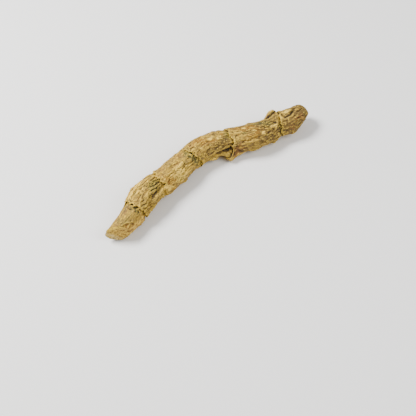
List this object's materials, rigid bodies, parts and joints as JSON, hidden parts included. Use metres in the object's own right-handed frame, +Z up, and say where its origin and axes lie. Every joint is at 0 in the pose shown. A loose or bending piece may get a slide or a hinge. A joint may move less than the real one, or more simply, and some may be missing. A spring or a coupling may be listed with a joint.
{
  "type": "dried calamus root",
  "caption": "Dried calamus rhizome lying on its side: gently bent, ringed by overlapping jagged bark, cut obliquely at one end and blunt at the other.",
  "frame": {"origin": "on the surface the root lies on, under the middle of its bounding box", "axes": "+X runs from the knife-cut end to the blunt tip, +Z is up, and -Y is the side on the inside of the bend, which the camera looks down on"},
  "size_m": [0.1443, 0.0304, 0.0166],
  "materials": {
    "dried_bark": "dry, matte, wrinkled"
  },
  "bodies": {
    "root": {"calamus_root": "dried_bark"}
  },
  "joints": []
}
